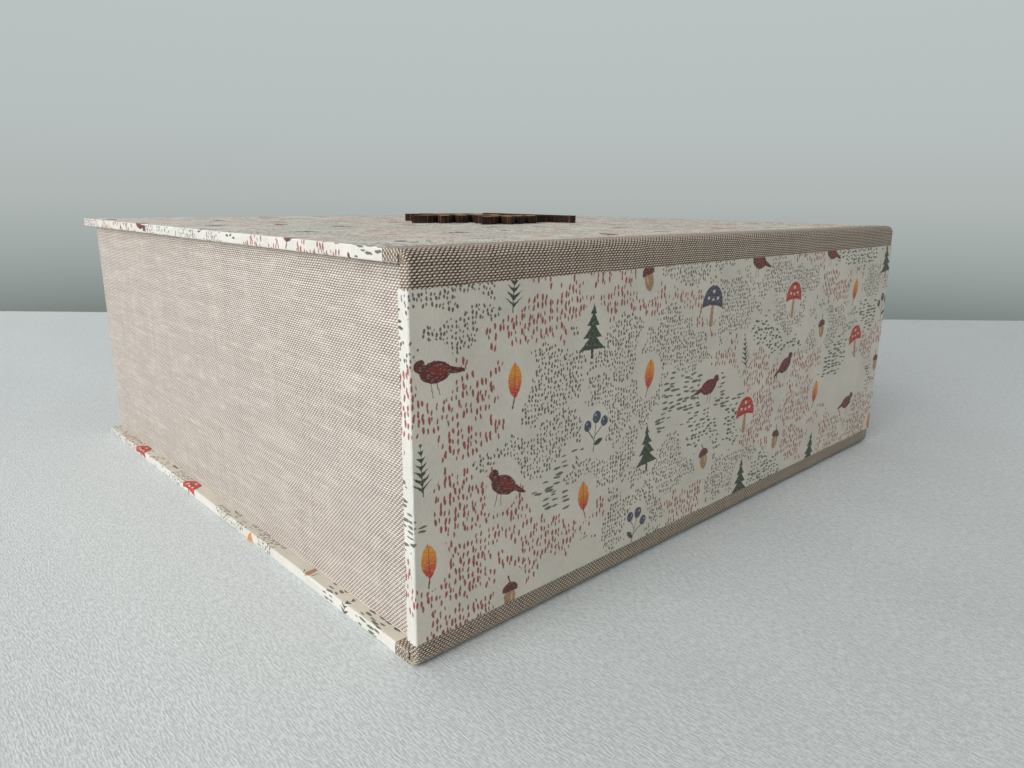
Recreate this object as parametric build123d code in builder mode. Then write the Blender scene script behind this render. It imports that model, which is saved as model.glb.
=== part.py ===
"""Photo storage box: a cloth-covered tray fixed in a hinged case of spine, base and lid.

The case is made the way a book's is.  Three boards are joined by one strip of book cloth, and
paper covers the rest of the lid and base.  A paper panel is glued over the cloth on the spine.
The tray stands on the base board against the spine, and the lid turns on the strip of cloth
that bridges its joint.  A laser-cut plywood ornament is glued near the middle of the lid's paper.

Units are millimetres.  The origin is at the middle of the box's footprint, on the surface that
it stands on.  +Z is up, X runs along the spine, and the spine is at +Y.
"""
from build123d import *
from math import asin, atan2, degrees
import os

# ---- driving dimensions ----
case_length = 248.0          # along the spine, over the coverings
case_depth = 235.0           # fore-edge to the spine panel's face
case_height = 95.0           # without the ornament
board = 2.5                  # greyboard, for the case and for the tray
covering = 0.3               # book cloth, and the paper that meets it flush
lining = 0.2                 # plain paper inside the tray and lid
turn_in = 15.0               # how far a covering is folded over onto a board's other face
side_square = 3.5            # lid and base overhang the tray at both ends
front_square = 4.0           # and at the fore-edge
cloth_on_cover = 9.0         # cloth shows this far in from the case's back, on lid and base
joint_slit = 0.3             # lined back edge of the lid to the lined spine, when closed
hinge_reach = 2.25           # hinge axis, out and up from the joint's inner corner
open_clearance = 2.5         # lid's fore-edge above the table behind, when fully open
rim_gap = 0.15               # under the closed lid, above the tray's rim
panel_above = 6.5            # cloth that shows below the spine's paper panel
panel_below = 8.0            # and above it
rim_fold = 20.0              # tray cloth folded over the rim and down inside
rim_cloth_shown = 5.0        # of it, what the tray's lining leaves uncovered
hinge_lining_width = 20.0    # inner joint cloth, on the lid and on the spine
lining_margin = 3.0          # lid's edge to its lining

ornament_thickness = 3.0     # plywood
ground_length = 58.0         # bar that the sprigs grow from
ground_width = 3.4
stem_width = 2.2
middle_height = 54.0         # middle stem, without its top leaf
side_height = 39.0           # outer stems, as the crow flies
side_stem_foot = 17.0        # outer stems, from the middle one at the bar
side_stem_lean = 5.0         # how far their tips lean out
side_stem_bow = 2.5          # and how far they bow
ornament_aside = 3.5         # its middle from the lid paper's, towards +X
leaf_length = 12.5
leaf_width = 5.0
leaf_rake = 42.0             # degrees between a leaf and its stem
first_pair = 0.34            # lowest pair of leaves, as a share of its stem
top_leaf = 0.93              # and where the leaf at its tip begins

# ---- levels and faces that several pieces share ----
back_face = case_depth / 2
front_face = -case_depth / 2
fold_round = 0.8 * covering                        # outer arris of a folded covering
board_length = case_length - 2 * covering
well_length = case_length - 2 * turn_in            # between the folded ends of a covering

base_top = covering + board
lid_bottom = case_height - covering - board
spine_outside = back_face - 2 * covering           # outer face of the spine board
spine_inside = spine_outside - board
lid_back = spine_inside - covering - joint_slit    # back of the lid, over its joint lining
cover_back = lid_back - covering                   # back edge of the lid and base boards
cloth_line = back_face - cloth_on_cover            # where cloth meets paper on lid and base

tray_length = case_length - 2 * side_square
tray_back = spine_inside - 2 * covering            # the spine's folded cloth and paper between
tray_front = front_face + front_square
tray_foot = base_top + covering                    # it stands on the base's turn-ins
tray_rim = lid_bottom - 2 * covering - rim_gap      # covering and inner joint cloth above it

floor_bottom = tray_foot + covering
floor_top = floor_bottom + board
wall_top = tray_rim - covering
wall_length = tray_length - 2 * covering           # over the end walls' outer faces
wall_back = tray_back - covering
wall_front = tray_front + covering

hinge_y = spine_inside + hinge_reach
hinge_z = lid_bottom + hinge_reach
lid_reach = hinge_y - front_face
lid_opening = 180 + degrees(asin((hinge_z - open_clearance) / lid_reach))


def slab(length, y_low, y_high, z_low, z_high, mode=Mode.ADD):
    """Extrude a block of that length, centred on X, between the given faces."""
    with BuildSketch(Plane.XY.offset(z_low), mode=Mode.PRIVATE) as outline:
        with Locations((0, (y_low + y_high) / 2)):
            Rectangle(length, y_high - y_low)
    extrude(to_extrude=outline.sketch, amount=z_high - z_low, mode=mode)


def finish(piece, name):
    """Label a finished piece and write its STEP file."""
    piece.part.label = name
    export_step(piece.part, f"parts/{name}.step")


os.makedirs("parts", exist_ok=True)

# ---- case boards ----
with BuildPart() as lid_board:
    slab(board_length, front_face + covering, cover_back, lid_bottom, lid_bottom + board)
finish(lid_board, "lid_board")

mid_height = Plane.XY.offset(case_height / 2)      # the base mirrors the lid in this plane

with BuildPart() as base_board:
    mirror(lid_board.part, about=mid_height)
finish(base_board, "base_board")

with BuildPart() as spine_board:
    slab(board_length, spine_inside, spine_outside, base_top, lid_bottom)
finish(spine_board, "spine_board")

# ---- printed paper on the lid and base: folded round the fore-edge and both ends ----
with BuildPart() as lid_cover_paper:
    slab(case_length, front_face, cloth_line, lid_bottom - covering, case_height)
    open_edges = lid_cover_paper.faces().sort_by(Axis.Y)[-1].edges()
    folded_edges = [edge for edge in lid_cover_paper.edges() if edge not in open_edges]
    fillet(folded_edges, radius=fold_round)
    slab(board_length, front_face + covering, cover_back, lid_bottom, lid_bottom + board, Mode.SUBTRACT)
    slab(well_length, front_face + turn_in, cover_back, lid_bottom - covering, lid_bottom, Mode.SUBTRACT)
finish(lid_cover_paper, "lid_cover_paper")

with BuildPart() as base_cover_paper:
    mirror(lid_cover_paper.part, about=mid_height)
finish(base_cover_paper, "base_cover_paper")


def joint_cloth(cloth_back):
    """Book cloth folded round both ends of the lid board's back, its outer layer run on to cloth_back."""
    with BuildPart() as cloth:
        slab(case_length, cloth_line, cover_back, lid_bottom - covering, case_height)
        fillet(cloth.edges().filter_by(Axis.Y), radius=fold_round)
        slab(board_length, cloth_line, cover_back, lid_bottom, lid_bottom + board, Mode.SUBTRACT)
        slab(well_length, cloth_line, cover_back, lid_bottom - covering, lid_bottom, Mode.SUBTRACT)
        slab(case_length, cover_back, cloth_back, case_height - covering, case_height)
    return cloth.part


with BuildPart() as lid_joint_cloth:
    add(joint_cloth(lid_back))
finish(lid_joint_cloth, "lid_joint_cloth")

with BuildPart() as base_joint_cloth:
    mirror(joint_cloth(spine_inside), about=mid_height)
finish(base_joint_cloth, "base_joint_cloth")

# ---- book cloth on the spine, with the two bends that bridge the joints ----
# At both ends the cloth is folded over: onto the spine's inner face, and in the joints onto itself.
spine_height = lid_bottom - base_top


def joint_bend(inner, outer):
    """Sketch the quarter bend of a cloth layer about the joint's inner corner."""
    Circle(outer)
    Circle(inner, mode=Mode.SUBTRACT)
    Rectangle(outer, outer, align=(Align.MIN, Align.MIN), mode=Mode.INTERSECT)


def inner_layer(length, drop):
    """Cloth inside the lid's joint: up the spine's inner face, over its top and round the bend."""
    with BuildPart() as layer:
        with BuildSketch(Plane.YZ.offset(-length / 2)):
            with Locations((spine_inside, lid_bottom)):
                joint_bend(board - covering, board)
                Rectangle(board - covering / 2, covering, align=(Align.MIN, Align.MIN))
            with Locations((spine_inside, lid_bottom + covering)):
                Rectangle(covering, covering + drop, align=(Align.MAX, Align.MAX))
        extrude(amount=length)
    return layer.part


with BuildPart() as spine_cloth:
    slab(case_length, spine_inside, spine_outside + covering, base_top, lid_bottom)
    outer_folds = spine_cloth.edges().filter_by(Axis.Z).group_by(Axis.Y)[-1]
    fillet(outer_folds, radius=fold_round)
    slab(board_length, spine_inside, spine_outside, base_top, lid_bottom, Mode.SUBTRACT)
    with BuildSketch(Plane.YZ.offset(-case_length / 2)):
        with Locations((spine_inside, lid_bottom)):
            joint_bend(board, board + covering)
    extrude(amount=case_length)
    add(inner_layer(case_length, spine_height))
    add(inner_layer(well_length, spine_height), mode=Mode.SUBTRACT)
    mirror(about=mid_height)
RevoluteJoint(
    "lid_hinge", spine_cloth.part,
    axis=Axis((0, hinge_y, hinge_z), (-1, 0, 0)), angular_range=(0, lid_opening),
)
print(f"lid_hinge: y {hinge_y:.2f}, z {hinge_z:.2f}, opens {lid_opening:.1f} degrees")
finish(spine_cloth, "spine_cloth")

# ---- printed paper panel over the cloth on the spine, folded round both ends ----
panel_bottom = panel_above
panel_top = case_height - panel_below
panel_length = case_length + 2 * covering
panel_inside = spine_inside - 2 * covering

with BuildPart() as spine_panel_paper:
    slab(panel_length, panel_inside, back_face, panel_bottom, panel_top)
    fillet(spine_panel_paper.edges().filter_by(Axis.Z), radius=fold_round)
    slab(
        case_length, panel_inside + covering, back_face - covering,
        panel_bottom, panel_top, Mode.SUBTRACT,
    )
    slab(well_length, panel_inside, panel_inside + covering, panel_bottom, panel_top, Mode.SUBTRACT)
finish(spine_panel_paper, "spine_panel_paper")

# ---- inner joint cloth: pressed into the joint, over the spine's top and the lid's back edge ----
with BuildPart() as spine_hinge_lining:
    add(inner_layer(well_length, hinge_lining_width))
finish(spine_hinge_lining, "spine_hinge_lining")

inner_length = case_length - 2 * lining_margin
lining_back = cover_back - hinge_lining_width
lid_lined = lid_bottom - 2 * covering

with BuildPart() as lid_hinge_lining:
    slab(inner_length, lining_back, lid_back, lid_lined, lid_bottom - covering)
    slab(well_length, lining_back, cover_back, lid_bottom - covering, lid_bottom)
    slab(inner_length, cover_back, lid_back, lid_lined, case_height - covering)
finish(lid_hinge_lining, "lid_hinge_lining")

# ---- plain lining paper under the lid: it steps down over the turned-in edges ----
well_front = front_face + turn_in

with BuildPart() as lid_lining_paper:
    slab(
        inner_length, front_face + lining_margin, lining_back,
        lid_bottom - covering - lining, lid_bottom - covering,
    )
    slab(well_length, well_front, lining_back, lid_bottom - covering, lid_bottom)
    slab(
        well_length - 2 * lining, well_front + lining, lining_back,
        lid_bottom - covering - lining, lid_bottom - lining, Mode.SUBTRACT,
    )
finish(lid_lining_paper, "lid_lining_paper")

# ---- tray: a floor and four walls, glued edge to face ----
with BuildPart() as tray_floor_board:
    slab(wall_length, wall_front, wall_back, floor_bottom, floor_top)
finish(tray_floor_board, "tray_floor_board")

with BuildPart() as tray_front_wall:
    slab(wall_length, wall_front, wall_front + board, floor_top, wall_top)
finish(tray_front_wall, "tray_front_wall")

with BuildPart() as tray_back_wall:
    slab(wall_length, wall_back - board, wall_back, floor_top, wall_top)
finish(tray_back_wall, "tray_back_wall")

for name, side in (("tray_left_wall", -1), ("tray_right_wall", 1)):
    with BuildPart() as end_wall:
        with BuildSketch(Plane.XY.offset(floor_top)):
            with Locations((side * (wall_length - board) / 2, (wall_front + wall_back) / 2)):
                Rectangle(board, wall_back - wall_front - 2 * board)
        extrude(amount=wall_top - floor_top)
    finish(end_wall, name)

# ---- tray cloth: under the floor, up the walls, over the rim and down inside ----
room_length = wall_length - 2 * board
room_front = wall_front + board
room_back = wall_back - board
fold_bottom = tray_rim - rim_fold

with BuildPart() as tray_cloth:
    slab(tray_length, tray_front, tray_back, tray_foot, tray_rim)
    fillet(tray_cloth.edges(), radius=fold_round)
    slab(wall_length, wall_front, wall_back, floor_bottom, fold_bottom, Mode.SUBTRACT)
    slab(
        room_length - 2 * covering, room_front + covering, room_back - covering,
        fold_bottom, tray_rim, Mode.SUBTRACT,
    )
    with BuildSketch(Plane.XY.offset(fold_bottom)) as wall_tops:
        with Locations((0, (wall_front + wall_back) / 2)):
            Rectangle(wall_length, wall_back - wall_front)
        with Locations((0, (room_front + room_back) / 2)):
            Rectangle(room_length, room_back - room_front, mode=Mode.SUBTRACT)
    extrude(amount=wall_top - fold_bottom, mode=Mode.SUBTRACT)
    slab(
        tray_length - 2 * turn_in, tray_front + turn_in, tray_back - turn_in,
        tray_foot, floor_bottom, Mode.SUBTRACT,
    )
finish(tray_cloth, "tray_cloth")


# ---- plain paper inside the tray: the walls' strip steps over the folded cloth ----
def inner_ring(inset, z_low, z_high, mode=Mode.ADD):
    """Block that stands inset from the tray walls' inner faces."""
    slab(room_length - 2 * inset, room_front + inset, room_back - inset, z_low, z_high, mode)


lining_top = tray_rim - rim_cloth_shown

with BuildPart() as tray_wall_lining:
    inner_ring(0, floor_top, fold_bottom)
    inner_ring(lining, floor_top, fold_bottom - lining, Mode.SUBTRACT)
    inner_ring(covering, fold_bottom, lining_top)
    inner_ring(covering + lining, fold_bottom - lining, lining_top, Mode.SUBTRACT)
finish(tray_wall_lining, "tray_wall_lining")

with BuildPart() as tray_floor_lining:
    inner_ring(lining, floor_top, floor_top + lining)
finish(tray_floor_lining, "tray_floor_lining")

# ---- plywood ornament: three leafy sprigs on a ground bar ----
# It reads with the spine at the left, as a book's cover does.
with BuildSketch() as leaf:
    with BuildLine():
        ThreePointArc((0, 0), (leaf_length / 2, leaf_width / 2), (leaf_length, 0))
        ThreePointArc((leaf_length, 0), (leaf_length / 2, -leaf_width / 2), (0, 0))
    make_face()

height_over_ground = top_leaf * middle_height + leaf_length
ground_v = (ground_width / 2 - height_over_ground) / 2


def leaf_at(stem, where, turn):
    """Add a leaf that grows from that point of a stem, turned from the stem's own heading."""
    spot = stem @ where
    along = stem % where
    heading = degrees(atan2(along.Y, along.X))
    with Locations(Location((spot.X, spot.Y), heading + turn)):
        add(leaf.sketch)


def sprig(stem, pairs):
    """Trace a stem and add pairs of leaves up it, and one leaf at its tip."""
    trace(stem, line_width=stem_width)
    for number in range(pairs):
        where = first_pair + (1 - first_pair) * number / pairs
        leaf_at(stem, where, leaf_rake)
        leaf_at(stem, where, -leaf_rake)
    leaf_at(stem, top_leaf, 0)


with BuildLine() as middle_stem:
    Line((0, ground_v), (0, ground_v + middle_height))

outer_stems = []
for side in (-1, 1):
    foot = Vector(side * side_stem_foot, ground_v)
    top = foot + Vector(side * side_stem_lean, side_height)
    bend = (foot + top) / 2 + Vector(-side * side_stem_bow, 0)
    with BuildLine() as outer_stem:
        ThreePointArc(foot, bend, top)
    outer_stems.append(outer_stem.line)

ornament_middle = (ornament_aside, (front_face + cloth_line) / 2, case_height)
with BuildPart() as lid_ornament:
    with BuildSketch(Plane(ornament_middle, x_dir=(0, -1, 0), z_dir=(0, 0, 1))):
        with Locations((0, ground_v)):
            SlotOverall(ground_length, ground_width)
        sprig(middle_stem.line, pairs=4)
        for outer_stem in outer_stems:
            sprig(outer_stem, pairs=3)
    extrude(amount=ornament_thickness)
finish(lid_ornament, "lid_ornament")
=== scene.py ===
"""Photo storage box: book cloth, printed paper and linings for a tray in a hinged case.

The script covers the boards of the box as a box maker does, with sheets that are cut, folded
round the edges and turned in.  Each sheet carries a map named "sheet", in metres as the sheet
lies flat, and the weave and the print are drawn on that map.
"""

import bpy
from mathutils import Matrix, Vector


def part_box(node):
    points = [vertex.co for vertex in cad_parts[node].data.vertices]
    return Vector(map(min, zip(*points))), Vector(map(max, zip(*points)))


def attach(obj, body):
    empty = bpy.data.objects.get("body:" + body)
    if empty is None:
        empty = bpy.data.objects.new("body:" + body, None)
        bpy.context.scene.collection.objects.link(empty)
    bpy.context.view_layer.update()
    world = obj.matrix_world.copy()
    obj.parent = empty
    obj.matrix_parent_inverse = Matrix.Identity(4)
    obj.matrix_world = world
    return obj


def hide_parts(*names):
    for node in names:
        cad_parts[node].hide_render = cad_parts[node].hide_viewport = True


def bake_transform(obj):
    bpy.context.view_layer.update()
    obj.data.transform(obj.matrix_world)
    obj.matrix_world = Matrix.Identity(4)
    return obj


bl_info = {
    "name": "Photo Storage Box",
    "version": (1, 0, 0),
    "blender": (4, 5, 0),
    "location": "3D Viewport > Sidebar > Storage Box",
    "description": "Covers a hinged storage box with book cloth and printed paper",
    "category": "Object",
}

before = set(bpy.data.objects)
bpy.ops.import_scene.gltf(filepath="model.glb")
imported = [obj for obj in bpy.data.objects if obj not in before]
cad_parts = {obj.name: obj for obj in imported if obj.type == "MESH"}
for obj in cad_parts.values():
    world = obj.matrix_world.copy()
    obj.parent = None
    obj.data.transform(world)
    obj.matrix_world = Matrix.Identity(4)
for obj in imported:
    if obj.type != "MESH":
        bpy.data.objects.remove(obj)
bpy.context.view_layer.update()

from contextlib import contextmanager
from functools import reduce
from math import atan2, pi, radians

import bmesh
import bpy
from bpy.props import FloatProperty, FloatVectorProperty, PointerProperty
from bpy.types import Operator, Panel, PropertyGroup
from mathutils import Euler, Vector

MM = 0.001
X, Y, Z = 0, 1, 2

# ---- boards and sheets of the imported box, each as its lowest and highest corner ----
LID_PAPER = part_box("lid_cover_paper")
LID_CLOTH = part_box("lid_joint_cloth")
LID_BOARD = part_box("lid_board")
LID_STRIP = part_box("lid_hinge_lining")
SPINE_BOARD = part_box("spine_board")
SPINE_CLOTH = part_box("spine_cloth")
SPINE_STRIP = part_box("spine_hinge_lining")
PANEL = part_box("spine_panel_paper")
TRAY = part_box("tray_cloth")
TRAY_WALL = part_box("tray_front_wall")
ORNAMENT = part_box("lid_ornament")

# ---- levels and widths that the coverings share ----
COVERING = LID_PAPER[1].z - LID_BOARD[1].z
BOX_TOP = LID_PAPER[1].z
LID_BOTTOM = LID_BOARD[0].z
SPINE_INSIDE = SPINE_BOARD[0].y
CLOTH_FACE = SPINE_BOARD[1].y + COVERING                   # outside of the spine, under its panel
BEND_REACH = CLOTH_FACE - SPINE_INSIDE                     # radius of the cloth's bend round a joint
BEND_CENTRE = Vector((0, SPINE_INSIDE, LID_BOTTOM))
BEND_START = Vector((SPINE_CLOTH[1].x, CLOTH_FACE, LID_BOTTOM))
TURNED_IN = 15 * MM
RIM_FOLD = 20 * MM                                         # tray cloth turned down inside the walls
END_FOLD = 0.2 * MM                                        # bend's ends fold in by this past a corner
END_WIDTH = 1.5 * MM                                       # part of the bend that its ends take up
WELD = 1e-6                                                # corners this close are one corner
SHARP = radians(60)                                        # folds and corners that are rounded
SMOOTH = radians(40)                                       # bends below this are shaded smooth
BASE_PRINT = Vector((0.737, 0.009))                        # where the base's paper lies in the print

# added to a sheet's box where its edge isn't a fold, so that no wear shows there
PAST_Y = Vector((0, 40 * MM, 0))
PAST_Z = Vector((0, 0, 40 * MM))


def srgb(red, green, blue):
    """Linear colour from the 0-255 values of a colour picker."""
    def linear(value):
        value /= 255
        return value / 12.92 if value <= 0.04045 else ((value + 0.055) / 1.055) ** 2.4
    return linear(red), linear(green), linear(blue), 1.0


# ======== settings ========

def length_setting(name, description, default):
    return FloatProperty(
        name=name, description=description, default=default,
        min=0.0, precision=5, subtype="DISTANCE", unit="LENGTH",
    )


def colour_setting(name, description, default):
    """Colour whose default is given as the 0-255 values of a colour picker."""
    return FloatVectorProperty(
        name=name, description=description, default=srgb(*default),
        size=4, min=0.0, max=1.0, subtype="COLOR",
    )


def power_setting(name, description, default):
    return FloatProperty(
        name=name, description=description, default=default, min=0.0, unit="POWER",
    )


class FoldSettings(PropertyGroup):
    """How the sheets go round the boards."""

    covering: length_setting("Covering", "Thickness of the cloth and the printed paper", COVERING)
    turned_in: length_setting("Turned in", "Width of sheet folded onto the other face", TURNED_IN)
    fold: length_setting("Fold", "Rounding where a sheet folds over a board's edge", 0.5 * MM)
    corner: length_setting("Corner", "Rounding of the boards' worn outer corners", 0.9 * MM)


class ClothSettings(PropertyGroup):
    """The two-tone book cloth."""

    weft: colour_setting("Weft", "Pale threads, along the spine", (239, 230, 209))
    # the tray's weft is the spine's thread, painted paler as lit
    lit_tray_weft: colour_setting("Tray weft", "Pale threads of the tray's cloth", (254, 245, 233))
    warp: colour_setting("Warp", "Brown threads, across the spine", (109, 68, 54))
    weft_pitch: length_setting("Weft pitch", "From one pale thread to the next", 0.60 * MM)
    warp_pitch: length_setting("Warp pitch", "From one brown thread to the next", 0.62 * MM)
    relief: length_setting("Relief", "Height of the threads over the gaps", 0.16 * MM)


class PaperSettings(PropertyGroup):
    """The printed paper and the plain lining paper."""

    ground: colour_setting("Ground", "Unprinted paper", (220, 214, 200))
    # core is also the white that the end faces of the print are painted towards, as painted light
    core: colour_setting("Core", "The paper's core, where it is rubbed", (241, 240, 236))
    lining: colour_setting("Lining", "Plain paper inside the tray and lid", (222, 215, 200))
    maroon: colour_setting("Maroon", "Ink of the birds and acorn cups", (98, 40, 38))
    red: colour_setting("Red", "Ink of the toadstools", (202, 62, 45))
    ochre: colour_setting("Ochre", "Ink of the leaves", (234, 154, 50))
    green: colour_setting("Green", "Ink of the firs and ferns", (56, 70, 52))
    blue: colour_setting("Blue", "Ink of the berries", (70, 78, 98))
    tan: colour_setting("Tan", "Ink of stems and acorns", (178, 138, 100))
    terracotta: colour_setting("Terracotta", "Ink of the long strokes", (152, 48, 29))
    mauve: colour_setting("Mauve", "Ink of the small dabs", (86, 68, 60))
    sage: colour_setting("Sage", "Ink of the grass tufts", (84, 89, 71))


class BoardSettings(PropertyGroup):
    """Bare board and plywood."""

    greyboard: colour_setting("Greyboard", "Boards under the coverings", (150, 144, 132))
    ply: colour_setting("Plywood", "Face of the ornament", (196, 146, 92))
    char: colour_setting("Char", "Edges that the laser burned", (34, 22, 15))
    scorch_width: length_setting("Scorch", "Width of the brown margin on its face", 0.9 * MM)


class StageSettings(PropertyGroup):
    """Table and light."""

    table: colour_setting("Table", "Tablecloth", (225, 231, 231))
    window_power: power_setting("Window", "Soft light from the left", 20.6)
    high_power: power_setting("High light", "Soft light above the window", 6.4)
    back_power: power_setting("Back light", "Soft light from behind the box", 6.1)
    room_strength: FloatProperty(
        name="Room", description="Strength of the light from all round", default=0.365, min=0.0,
    )


# ======== modelling ========

def deselect_all():
    if bpy.context.mode != "OBJECT":
        bpy.ops.object.mode_set(mode="OBJECT")
    bpy.ops.object.select_all(action="DESELECT")


def make_active(piece):
    """Select only this piece."""
    deselect_all()
    piece.select_set(True)
    bpy.context.view_layer.objects.active = piece


@contextmanager
def editing(piece):
    """Open a piece in edit mode, and close it again."""
    make_active(piece)
    bpy.ops.object.mode_set(mode="EDIT")
    yield
    bpy.ops.object.mode_set(mode="OBJECT")


def name_new(name):
    """Name the primitive that was just added, and put its place into its mesh."""
    bpy.ops.object.transform_apply()
    piece = bpy.context.active_object
    piece.name = piece.data.name = name
    return piece


def block(name, low, high):
    """Add a block between two corners."""
    deselect_all()
    low, high = Vector(low), Vector(high)
    bpy.ops.mesh.primitive_cube_add(
        size=1, calc_uvs=False, location=(low + high) / 2, scale=high - low,
    )
    return name_new(name)


def pick(piece, kind, wanted):
    """In edit mode, select just the wanted parts, FACE or EDGE."""
    bpy.ops.mesh.select_mode(type=kind)
    bpy.ops.mesh.select_all(action="DESELECT")
    mesh = bmesh.from_edit_mesh(piece.data)
    mesh.normal_update()
    picked = [part for part in (mesh.faces if kind == "FACE" else mesh.edges) if wanted(part)]
    if not picked:
        raise RuntimeError(f"{piece.name} has no such {kind.lower()}")
    for part in picked:
        part.select_set(True)
    bmesh.update_edit_mesh(piece.data)


def is_sharp(edge):
    return len(edge.link_faces) == 2 and edge.calc_face_angle() > SHARP


def runs_along(edge, axis):
    """True if the edge is parallel to the axis."""
    along = edge.verts[1].co - edge.verts[0].co
    return abs(along[axis]) > 0.999 * along.length


def faces_along(face, axis, sign):
    return face.normal[axis] * sign > 0.9


def delete_faces(piece, wanted):
    pick(piece, "FACE", wanted)
    bpy.ops.mesh.delete(type="FACE")


def round_edges(piece, radius, axis=None, segments=3, wanted=None):
    """Round the sharp edges, or just those along an axis, or just the wanted ones."""
    pick(
        piece, "EDGE",
        lambda edge: is_sharp(edge) and (axis is None or runs_along(edge, axis))
        and (wanted is None or wanted(edge)),
    )
    bpy.ops.mesh.bevel(offset=radius, offset_type="OFFSET", segments=segments, affect="EDGES")


def widen_edges(piece, by, wanted):
    """Extend a sheet from the wanted edges."""
    pick(piece, "EDGE", wanted)
    bpy.ops.mesh.extrude_edges_move(TRANSFORM_OT_translate={"value": by})


def widen_ends(piece, axis, outwards=0.0, inwards=0.0):
    """Extend a sheet from its edges along an axis, at both ends of the box."""
    for side in (-1, 1):
        widen_edges(
            piece, (side * outwards, -inwards, 0),
            lambda edge: runs_along(edge, axis) and edge.verts[0].co.x * side > 0,
        )


def cut_across(axis, place):
    """In edit mode, cut the selected faces across the axis."""
    across = Vector((0, 0, 0))
    across[axis] = 1
    bpy.ops.mesh.bisect(plane_co=across * place, plane_no=across)


def face_outwards(piece):
    with editing(piece):
        bpy.ops.mesh.select_all(action="SELECT")
        bpy.ops.mesh.normals_make_consistent(inside=False)


def shade(piece, flat_faces=True):
    """Smooth the rounded edges and keep the large faces flat."""
    make_active(piece)
    bpy.ops.object.shade_smooth_by_angle(angle=SMOOTH)
    if flat_faces:
        modifier = piece.modifiers.new("Flat faces", "WEIGHTED_NORMAL")
        modifier.keep_sharp = True
        bpy.ops.object.modifier_apply(modifier=modifier.name)


def lay_flat(piece, flat):
    """Write the sheet's own map: flat() gives each corner's place on the flat sheet, in metres."""
    layer = piece.data.uv_layers.new(name="sheet")
    for face in piece.data.polygons:
        for corner in face.loop_indices:
            spot = piece.data.vertices[piece.data.loops[corner].vertex_index].co
            layer.data[corner].uv = flat(face, spot)


def finish_sheet(piece, flat, layers=1, flat_faces=True):
    """Turn the outside of a sheet into a closed sheet with smooth folds and its own map."""
    make_active(piece)
    modifier = piece.modifiers.new("Thickness", "SOLIDIFY")
    modifier.thickness = layers * bpy.context.scene.box_folds.covering
    modifier.offset = -1
    modifier.use_even_offset = True
    bpy.ops.object.modifier_apply(modifier=modifier.name)
    face_outwards(piece)
    shade(piece, flat_faces)
    lay_flat(piece, flat)


def dress(piece, material, body, slot, *nodes):
    """Give a finished piece its material and its body, and hide the nodes it stands for; its slot is
    not used.
    """
    piece.data.materials.clear()
    piece.data.materials.append(material)
    if body:
        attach(piece, body)
    if nodes:
        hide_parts(*nodes)


def wrapped_ends(name, low, high, open_axis, back_axis, fold):
    """Sheet across a board, folded round both ends onto the face that looks down back_axis."""
    piece = block(name, low, high)
    with editing(piece):
        delete_faces(piece, lambda face: abs(face.normal[open_axis]) > 0.9)
        well = high.x - bpy.context.scene.box_folds.turned_in

        def behind(face):
            return faces_along(face, back_axis, -1)

        for place in (-well, well):
            pick(piece, "FACE", behind)
            cut_across(X, place)
        delete_faces(
            piece, lambda face: behind(face) and abs(face.calc_center_median().x) < well,
        )
        round_edges(piece, fold, open_axis)
    return piece


def cover_board(name, low, high):
    """Sheet over the lid board, folded round its fore-edge and both ends, with mitred corners."""
    folds = bpy.context.scene.box_folds
    piece = block(name, low, high)
    with editing(piece):
        delete_faces(piece, lambda face: faces_along(face, Y, 1))
        pick(piece, "FACE", lambda face: faces_along(face, Z, -1))
        bpy.ops.mesh.inset(thickness=folds.turned_in, use_boundary=False)
        bpy.ops.mesh.delete(type="FACE")
        round_edges(piece, folds.corner, Z, segments=4)
        round_edges(piece, folds.fold)
    return piece


def round_board(face, spot, low, high, round_fore_edge=True):
    """Flat place, in plan, of a spot on a sheet that wraps a board's ends and its fore-edge."""
    middle = face.center
    half_x, fore = high.x, -low.y
    thick = high.z - low.z
    under = middle.z < (low.z + high.z) / 2
    x, y = spot.x, spot.y
    if not round_fore_edge or half_x - abs(middle.x) < fore + middle.y:
        reach = 2 * half_x + thick - abs(x) - (spot.z - low.z) if under else abs(x) + high.z - spot.z
        x = reach if middle.x > 0 else -reach
    else:
        y = -(2 * fore + thick + y - (spot.z - low.z)) if under else y - (high.z - spot.z)
    return x, y


def copied(piece, name):
    copy = bpy.data.objects.new(name, piece.data.copy())
    copy.data.name = name
    bpy.context.scene.collection.objects.link(copy)
    return copy


def mirrored(piece, name, axis, level=0.0):
    """Copy a piece, mirrored across a level on the axis."""
    copy = copied(piece, name)
    copy.scale[axis] = -1
    copy.location[axis] = 2 * level
    make_active(copy)
    bpy.ops.object.transform_apply()
    face_outwards(copy)
    return copy


def copy_below(piece, name):
    """Copy a piece of the lid, mirrored to the base."""
    return mirrored(piece, name, Z, BOX_TOP / 2)


# ======== node drawing ========

class Signal:
    """An output of a node tree that arithmetic can be written on."""

    def __init__(self, pen, socket):
        self.pen, self.socket = pen, socket

    def __rsub__(self, other):
        return self.pen.math("SUBTRACT", other, self)


def math_method(operation):
    def method(self, *others):
        return self.pen.math(operation, self, *others)
    return method


for method_name, method_operation in {
    "__add__": "ADD", "__radd__": "ADD", "__sub__": "SUBTRACT", "__mul__": "MULTIPLY",
    "__rmul__": "MULTIPLY", "__truediv__": "DIVIDE", "__abs__": "ABSOLUTE",
    "either": "MAXIMUM", "least": "MINIMUM", "whole": "FLOOR", "part": "FRACT",
    "above": "GREATER_THAN", "below": "LESS_THAN",
}.items():
    setattr(Signal, method_name, math_method(method_operation))


def either(*masks):
    """The largest of several masks."""
    return reduce(Signal.either, masks)


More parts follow.
